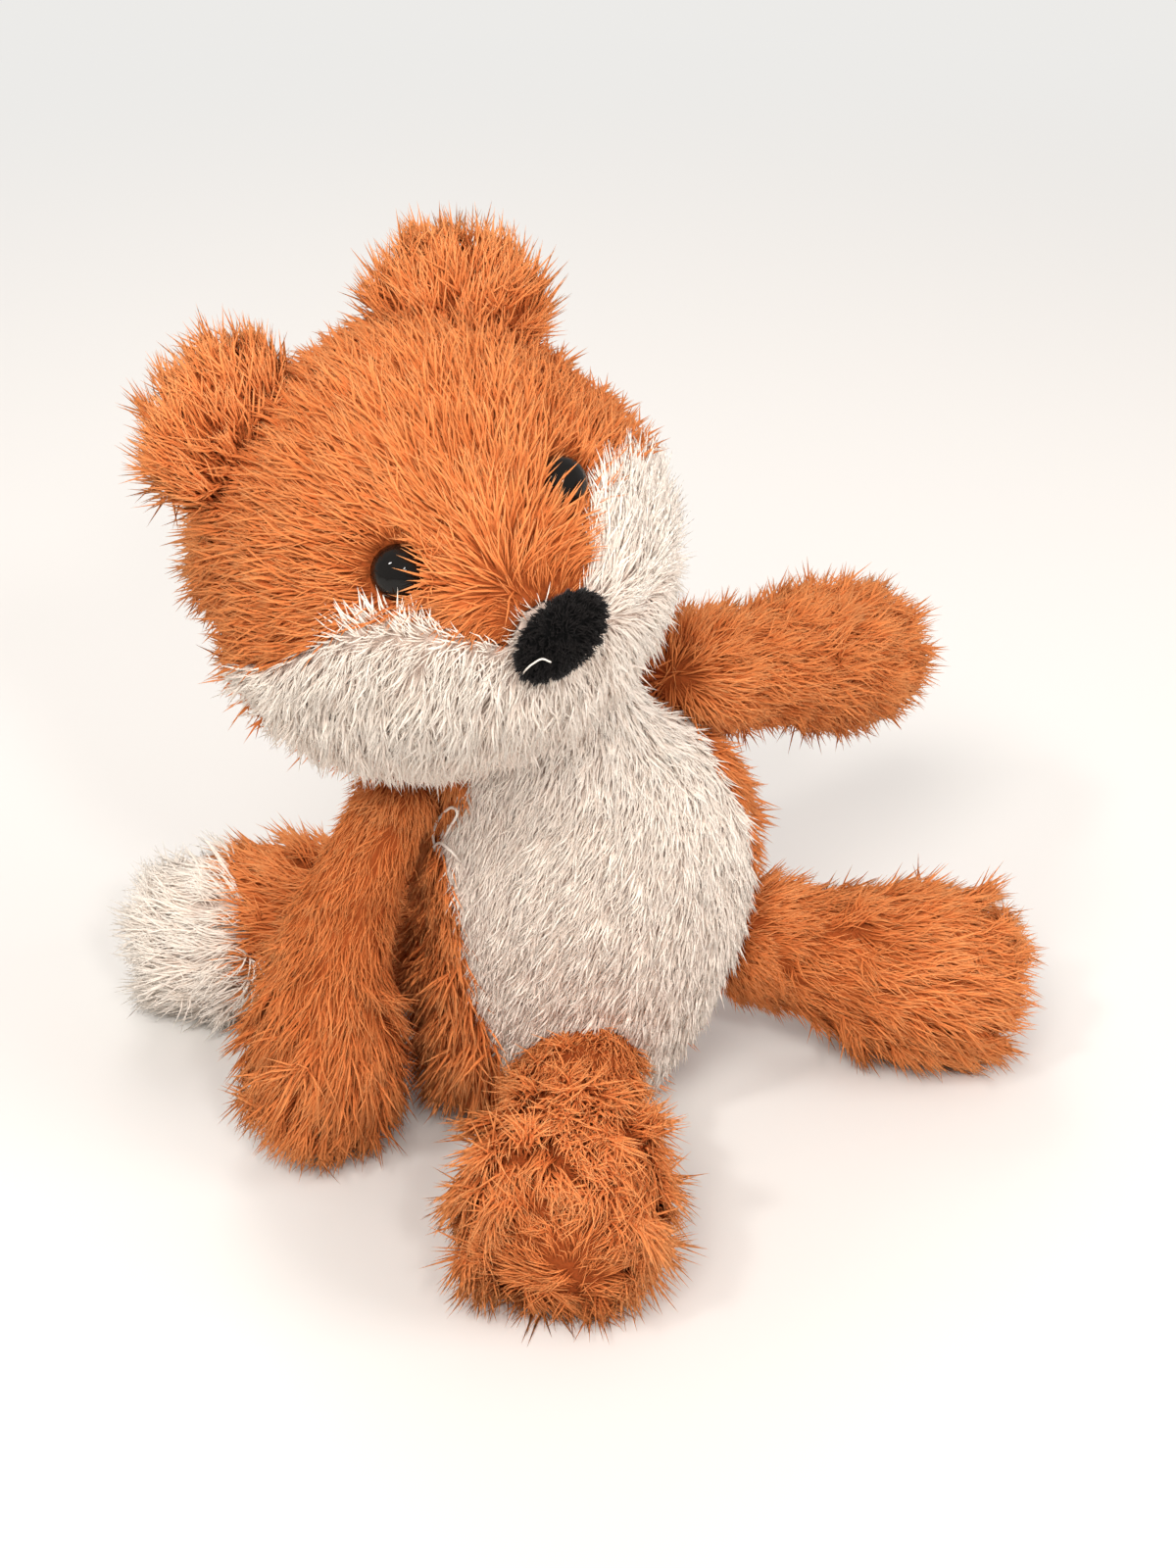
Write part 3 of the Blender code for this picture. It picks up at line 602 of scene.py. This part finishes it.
def torso_comb(at, out):
    """Down, forwards on the right side, and longer where the plush bunches over the right hip."""
    hip = fade(-at[0], *HIP_SIDE) * fade(-at[2], -HIP_TOP, -HIP_LOW)
    right = fade(-at[0], *RIGHT_SIDE)
    return np.array((0.25 * out[0], 0.2 - 0.75 * right, -1.0)), 0.30 + 0.25 * hip, 0.9 + 0.65 * hip


def tummy_comb(at, out):
    """Down and to the fox's right, and shorter beside the seam there."""
    edge = fade(-at[0], *TUMMY_EDGE)
    return np.array((-0.55 + 0.35 * edge, 0.0, -1.0)), 0.26, 1.0 - 0.25 * edge


plush(
    "torso_back_skin", "torso", "orange_plush", orange, torso_comb, 11,
    Length=0.0080, Strands_per_square_metre=2.3e6, Lock_width=0.0055, Lock_depth=0.45, Gather=0.6,
)
# Two threads have worked loose at the panel's upper right corner. Their spots are in mm.
THREAD_RADIUS = 0.00028
LOOSE_LOOP = (
    (-28.9, 2.9, 59.9), (-29.7, 1.5, 64.2), (-29.4, -1.1, 68.9), (-28.4, -5.9, 73.9),
    (-27.6, -7.4, 73.3), (-28.6, -4.3, 68.1), (-28.4, 0.4, 62.8),
)
LOOSE_END = (
    (-28.2, 5.0, 57.8), (-29.4, 3.0, 60.5), (-29.5, -2.2, 64.6), (-28.6, -6.2, 64.9),
    (-26.8, -5.4, 61.9),
)
plush(
    "tummy_panel", "torso", "white_plush", white, tummy_comb, 12,
    threads=((LOOSE_LOOP, THREAD_RADIUS), (LOOSE_END, THREAD_RADIUS)),
    Length=0.0058, Strands_per_square_metre=3.2e6, Thickness=0.00036,
    Lock_width=0.0035, Lock_depth=0.20, Disorder=0.16, Gather=0.45,
)

# ---- Head and muzzle
# The head is a round bag of the orange plush with the white muzzle panel sewn in below the eyes.
# The pile fans out from the bridge of the nose over the forehead and the cheeks. On the muzzle it
# parts along a line from the nose to each cheek.

BRIDGE = np.array((-0.0260, -0.0351, 0.1300))
PARTING = [
    [np.array(p) for p in side]
    for side in (
        (
            (-0.0230, -0.040, 0.1222), (-0.042, -0.032, 0.1218),
            (-0.050, -0.0265, 0.1205), (-0.058, -0.015, 0.1150),
        ),
        (
            (-0.0130, -0.038, 0.1222), (-0.004, -0.0305, 0.1194),
            (0.0056, -0.0196, 0.1198), (0.009, -0.006, 0.1195),
        ),
    )
]
# Where the combing changes, in metres: back from the face, out from the muzzle's seam, up to the
# crown and in from its sides, out from an ear's foot, and out from the parting.
BEHIND_FACE = (-0.010, 0.020)
OFF_SEAM = (0.001, 0.006)
CROWN_HEIGHT, CROWN_MIDDLE, CROWN_SIDES = (0.138, 0.152), -0.004, (-0.016, -0.004)
OFF_EAR = (0.013, 0.021)
OFF_PARTING = (0.001, 0.009)


def middle(node):
    low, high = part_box(node)
    return np.array((low + high) / 2.0)


eyes = [middle("eye_left"), middle("eye_right")]
nose_middle = middle("nose")
# An ear's pile fans out from a point inside the head. On the leaning right ear it lies inwards.
FOOT_DEPTH, RIGHT_FOOT_SHIFT = 0.004, 0.008
ear_feet = [
    np.array(((low.x + high.x) / 2.0 + shift, (low.y + high.y) / 2.0, low.z - FOOT_DEPTH))
    for (low, high), shift in (
        (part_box("ear_left_front"), 0.0), (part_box("ear_right_front"), RIGHT_FOOT_SHIFT)
    )
]


def kept_clear(at, lay, stand, reach):
    """Pile beside an eye or the nose leans away from it and is clipped shorter."""
    for spot, inner, outer, short in (
        (eyes[0], 0.0018, 0.0042, 0.95),
        (eyes[1], 0.0038, 0.0075, 0.62),
        (nose_middle, 0.0070, 0.0140, 0.60),
    ):
        free = fade(np.linalg.norm(at - spot), inner, outer)
        lay = unit(lay) * free + unit(at - spot) * (1.0 - free)
        reach *= short + (1.0 - short) * free
    return lay, stand, reach


panel = merged("muzzle_panel")
near_muzzle = BVHTree.FromBMesh(panel)
panel.free()


def head_comb(at, out):
    """Out from the bridge, shorter where it leads over the seam and shaggier beside the ears."""
    lay = unit(at - BRIDGE)
    behind = fade(at[1], *BEHIND_FACE)
    lay = lay + np.array((0.0, 0.0, -0.5)) * behind
    spot, _, _, far = near_muzzle.find_nearest(Vector(at))
    over_seam = (1.0 - fade(far, *OFF_SEAM)) * max(unit(lay) @ unit(np.array(spot) - at), 0.0)
    crown = fade(at[2], *CROWN_HEIGHT) * fade(-abs(at[0] - CROWN_MIDDLE), *CROWN_SIDES)
    by_ear = 1.0 - fade(min(np.linalg.norm(at - foot) for foot in ear_feet), *OFF_EAR)
    stand = 0.20 + 0.12 * behind - 0.08 * crown + 0.24 * by_ear
    reach = (1.0 - 0.35 * crown + 0.40 * by_ear) * (1.0 - 0.55 * over_seam)
    return kept_clear(at, lay, stand, reach)


def muzzle_comb(at, out):
    """Away from the parting and the nose, and shorter along the parting."""
    nearest = None
    for side in PARTING:
        for a, b in zip(side, side[1:]):
            share = min(max((at - a) @ (b - a) / ((b - a) @ (b - a)), 0.0), 1.0)
            spot = a + (b - a) * share
            if nearest is None or np.linalg.norm(at - spot) < np.linalg.norm(at - nearest):
                nearest = spot
    lay = unit(at - nearest) * 1.2 + unit(at - nose_middle) * 0.6
    close = 1.0 - fade(np.linalg.norm(at - nearest), *OFF_PARTING)
    return kept_clear(at, lay, 0.22 + 0.34 * close, 1.0 - 0.26 * close)


plush(
    "head_skin", "head", "orange_plush", orange, head_comb, 21,
    Length=0.0080, Strands_per_square_metre=2.5e6,
    Lock_width=0.0045, Lock_depth=0.22, Disorder=0.14, Gather=0.5,
)
# One fibre of the muzzle lies across the nose's lower right. Its spots are in mm.
FIBRE_RADIUS = 0.00016
NOSE_FIBRE = (
    (-25.9, -39.0, 115.8), (-26.6, -45.0, 120.5), (-25.9, -45.9, 121.7), (-24.5, -46.3, 122.5),
    (-23.0, -46.1, 121.6),
)
plush(
    "muzzle_panel", "head", "white_plush", white, muzzle_comb, 22,
    threads=((NOSE_FIBRE, FIBRE_RADIUS),),
    Length=0.0074, Strands_per_square_metre=3.3e6,
    Lock_width=0.0042, Lock_depth=0.42, Disorder=0.22, Gather=0.65,
)

# ---- Ears
# Each ear is a front and a back of orange plush sewn round their edge, turned right side out and
# left empty. Its open foot is sewn to the top of the head, and its pile fans out shaggily.

for side, foot, seed in (("left", ear_feet[0], 31), ("right", ear_feet[1], 33)):

    def ear_comb(at, out, foot=foot):
        return unit(at - foot), 0.42, 1.0

    for number, half in enumerate(("front", "back")):
        plush(
            f"ear_{side}_{half}", "head", "orange_plush", orange, ear_comb, seed + number,
            Length=0.0086, Strands_per_square_metre=2.8e6, Lock_width=0.0042, Lock_depth=0.95,
            Disorder=0.25, Droop=1.4, Gather=0.9,
        )

# ---- Eyes
# Each eye is a hard black button with a polished dome. Its shank passes through the plush and a
# ribbed washer holds it from inside.

button, shader, build = finish("black_button", 0.03, Specular_IOR_Level=0.25)
spot = object_spot(build)
cloud = build.node("ShaderNodeTexNoise", sockets={"Vector": spot, "Scale": 300.0, "Detail": 2.0})
feed(shader, "Base Color", mixed(build, cloud, (0.003, 0.0025, 0.0025), (0.008, 0.007, 0.006)))
feed(shader, "Roughness", 0.02 + 0.03 * cloud)

for side in ("left", "right"):
    dome = merged(f"eye_{side}")
    bmesh.ops.subdivide_edges(dome, edges=dome.edges, cuts=2, use_grid_fill=True, smooth=1.0)
    bmesh.ops.triangulate(dome, faces=dome.faces)
    made = piece(f"eye_{side}_button", dome, button)
    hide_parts(f"eye_{side}")
    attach(made, "head")

washer, shader, build = finish("clear_washer", 0.25, IOR=1.49, Transmission_Weight=0.7)
spot = object_spot(build)
haze = build.node("ShaderNodeTexNoise", sockets={"Vector": spot, "Scale": 600.0, "Detail": 3.0})
feed(shader, "Base Color", mixed(build, haze, (0.62, 0.64, 0.64), (0.82, 0.84, 0.84)))
feed(shader, "Roughness", 0.20 + 0.15 * haze)
for side in ("left", "right"):
    data = frame["nodes"][f"eye_washer_{side}"].data
    data.materials.clear()
    data.materials.append(washer)

# ---- Nose
# The nose is a padded oval of black velour, sewn on round its rim where the muzzle meets the
# bridge. Its nap is short and dense and takes no shine.

velour, shader, build = finish(
    "black_velour", 0.95, Sheen_Weight=0.10, Sheen_Roughness=0.4, Specular_IOR_Level=0.15
)
flat = build.node("ShaderNodeUVMap", {"uv_map": "OFBake"})
tone = build.node("ShaderNodeSeparateXYZ", sockets={0: flat})
# The nap is painted darkest at its roots and on its bare cloth, as painted shade deep in the nap, and a little
# paler at its tips.
NAP_COLOURS = (
    (0.08, (0.002, 0.002, 0.002)), (0.6, (0.008, 0.007, 0.007)), (1.0, (0.026, 0.023, 0.022))
)
depth = build.node("ShaderNodeValToRGB", {"stops": NAP_COLOURS}, {0: tone.out("Y")})
feed(shader, "Base Color", depth)
feed(shader, "Roughness", 0.88 + 0.10 * tone)


def nose_comb(at, out):
    return unit(at - nose_middle) + np.array((0.0, 0.0, -0.4)), 0.7, 1.0


plush(
    "nose", "head", "black_velour", velour, nose_comb, 41,
    Length=0.0015, Strands_per_square_metre=9.0e6, Thickness=0.00024,
    Lock_width=0.0014, Lock_depth=0.6, Disorder=0.5, Droop=0.6, Gather=1.0,
)

# ---- Arms, legs and tail
# Each is a stuffed tube of plush, closed at its end and sewn to the torso at its root. The pile
# runs down the tube and stands up in a ruff round its end. The tail has a white tip.

# How far round a limb's end its sole and its ruff begin and end, as cosines from its heading, and
# over what share of its length the pile grows to its full length.
SOLE, RUFF_START, RUFF_END = (0.55, 0.85), (0.0, 0.45), (0.75, 0.98)
GROWTH = 0.6
ROOT_STAND, FULL_STAND = 0.20, 0.24
# The sole's pile sways to and fro this much, by these waves in radians per metre, and leans up.
SOLE_SWAY, SOLE_WAVES, SOLE_LIFT = 0.30, (700.0, 600.0), 0.28


def far_end(nodes, root):
    """The spot of these CAD nodes that lies farthest from the root."""
    spots = np.array([v.co for n in nodes for v in frame["nodes"][n].data.vertices])
    return spots[np.argmax(np.linalg.norm(spots - root, axis=1))]


def limb_combing(root, run, ball, full_from, root_pile, end_pile):
    """The combing of a limb that runs from its root to the ball at its end."""

    def comb(at, out):
        q = unit(at - ball)
        ahead = q @ run
        grown = fade((at - root) @ run / ((ball - root) @ run), full_from, full_from + GROWTH)
        sole = fade(ahead, *SOLE)
        ruff = fade(ahead, *RUFF_START) * (1.0 - fade(ahead, *RUFF_END))
        across, up = (math.sin(waves * place) for waves, place in zip(SOLE_WAVES, at[1:]))
        twirl = Vector((SOLE_SWAY * across, SOLE_SWAY * up, SOLE_LIFT))
        lay = run * (1.0 - sole) + unit(q - run * ahead + np.array(twirl)) * sole
        short = ROOT_STAND * root_pile
        stand = short + (FULL_STAND - short) * grown + 0.24 * ruff + 0.10 * sole
        reach = root_pile + (1.0 - root_pile) * grown + 0.10 * ruff
        return lay, stand, reach + (end_pile - reach) * sole

    return comb


# Each limb's root and end radius, the length of its pile, where along it the pile begins to grow,
# and the pile's share of that length at the root and at the end.
for body, root_radius, radius, length, full_from, root_pile, end_pile, seed in (
    ("arm_left", 0.0096, 0.0125, 0.0092, 0.0, 0.90, 0.82, 51),
    ("arm_right", 0.0067, 0.0125, 0.0098, 0.30, 0.55, 0.82, 53),
    ("leg_left", 0.0108, 0.0170, 0.0092, 0.05, 0.70, 0.66, 55),
    ("leg_right", 0.0108, 0.0170, 0.0096, 0.05, 0.58, 0.66, 57),
    ("tail", 0.0100, 0.0150, 0.0096, 0.05, 0.75, 0.85, 59),
):
    skins = [n for n in bodies[body] if "stuffing" not in n]
    root = next(np.array(j["pos_m"]) for j in frame["joints"] if j["child"] == body)
    end = far_end(skins, root)
    run = unit(end - root)
    limb_comb = limb_combing(root, run, end - run * radius, full_from, root_pile, end_pile)
    for number, node in enumerate(skins):
        pale = node == "tail_tip_skin"
        plush(
            node, body, "white_plush" if pale else "orange_plush", white if pale else orange,
            limb_comb, seed + number, None if pale else (root, root_radius, run),
            Length=length, Strands_per_square_metre=2.3e6, Lock_width=0.0055, Lock_depth=0.80,
            Disorder=0.22, Droop=1.3, Gather=0.9,
        )

# ---- Table, light and camera
# A plain pale table that fades into its backdrop, lit by soft studio light and seen from the
# photograph's angle. None of it is a part of the fox.

# From this far off the camera sees the table as the plain backdrop.
SWEEP_START, SWEEP_END = 0.30, 0.90
TABLE_HALF = 4.0
BACKDROP = (0.84, 0.83, 0.81)
stone, shader, build = finish("pale_table", 0.75, Base_Color=(0.70, 0.69, 0.67, 1.0))
spot = object_spot(build)
away = build.node("ShaderNodeVectorMath", {"operation": "LENGTH"}, {0: spot}, out="Value")
seen = build.node("ShaderNodeLightPath", out="Is Camera Ray")
far = build.node(
    "ShaderNodeMapRange",
    {"interpolation_type": "SMOOTHSTEP"},
    {"Value": away, "From Min": SWEEP_START, "From Max": SWEEP_END},
)
paper = build.node("ShaderNodeEmission", sockets={"Color": (*BACKDROP, 1.0)})
surface = stone.node_tree.nodes["Material Output"].inputs["Surface"]
plain = Wire(stone.node_tree, shader.outputs["BSDF"])
sweep = build.node("ShaderNodeMixShader", sockets={0: far * seen, 1: plain, 2: paper})
stone.node_tree.links.new(sweep.socket, surface)
sheet = bmesh.new()
bmesh.ops.create_grid(sheet, x_segments=1, y_segments=1, size=TABLE_HALF)
table = piece("table", sheet, stone)

world = bpy.data.worlds.new("studio")
bpy.context.scene.world = world
world.use_nodes = True
room = world.node_tree.nodes["Background"]
build = Wire(world.node_tree)
seen = build.node("ShaderNodeLightPath", out="Is Camera Ray")
feed(room, "Color", mixed(build, seen, (0.60, 0.57, 0.555), BACKDROP))

# Three soft lights, and two small lamps that alone are mirrored in the eyes. Each row gives a
# light's place, width, watts and colour.
LIGHTS_MEET = Vector((-0.01, 0.0, 0.08))
for name, place, size, watts, colour in (
    ("key", (-0.55, -0.75, 1.05), 0.55, 9.5, (1.0, 0.96, 0.91)),
    ("fill", (0.80, -0.60, 0.65), 0.70, 5.8, (1.0, 0.95, 0.93)),
    ("back", (0.10, 0.95, 0.90), 0.60, 5.0, (1.0, 0.97, 0.94)),
    ("lamp_left", (-0.53, -0.205, 0.72), 0.10, 1.9, (1.0, 0.97, 0.94)),
    ("lamp_front", (-0.013, -0.674, 0.57), 0.10, 1.9, (1.0, 0.97, 0.94)),
):
    lamp = bpy.data.lights.new(name, "AREA")
    lamp.shape, lamp.size, lamp.energy, lamp.color = "DISK", size, watts, colour
    made = bpy.data.objects.new(name, lamp)
    made.location = place
    made.rotation_euler = (LIGHTS_MEET - made.location).to_track_quat("-Z", "Y").to_euler()
    made.visible_glossy = name.startswith("lamp")
    bpy.context.scene.collection.objects.link(made)

# The photograph's angle, its distance, the height that it looks at and its focal length.
turn, rise, away, LOOKED_AT = math.radians(-20.0), math.radians(30.0), 0.45, 0.070
PHOTO_HEIGHT_PX, FOCAL_LENGTH_PX, SENSOR_MM = 1600.0, 2475.0, 24.0
back = Vector((math.sin(turn) * math.cos(rise), -math.cos(turn) * math.cos(rise), math.sin(rise)))
camera = bpy.data.cameras.new("camera")
camera.sensor_fit = "VERTICAL"
camera.sensor_height = camera.sensor_width = SENSOR_MM
camera.lens = SENSOR_MM * FOCAL_LENGTH_PX / PHOTO_HEIGHT_PX
made = bpy.data.objects.new("camera", camera)
made.location = Vector((0.0, 0.0, LOOKED_AT)) + back * away
made.rotation_euler = (-back).to_track_quat("-Z", "Y").to_euler()
bpy.context.scene.collection.objects.link(made)
bpy.context.scene.camera = made
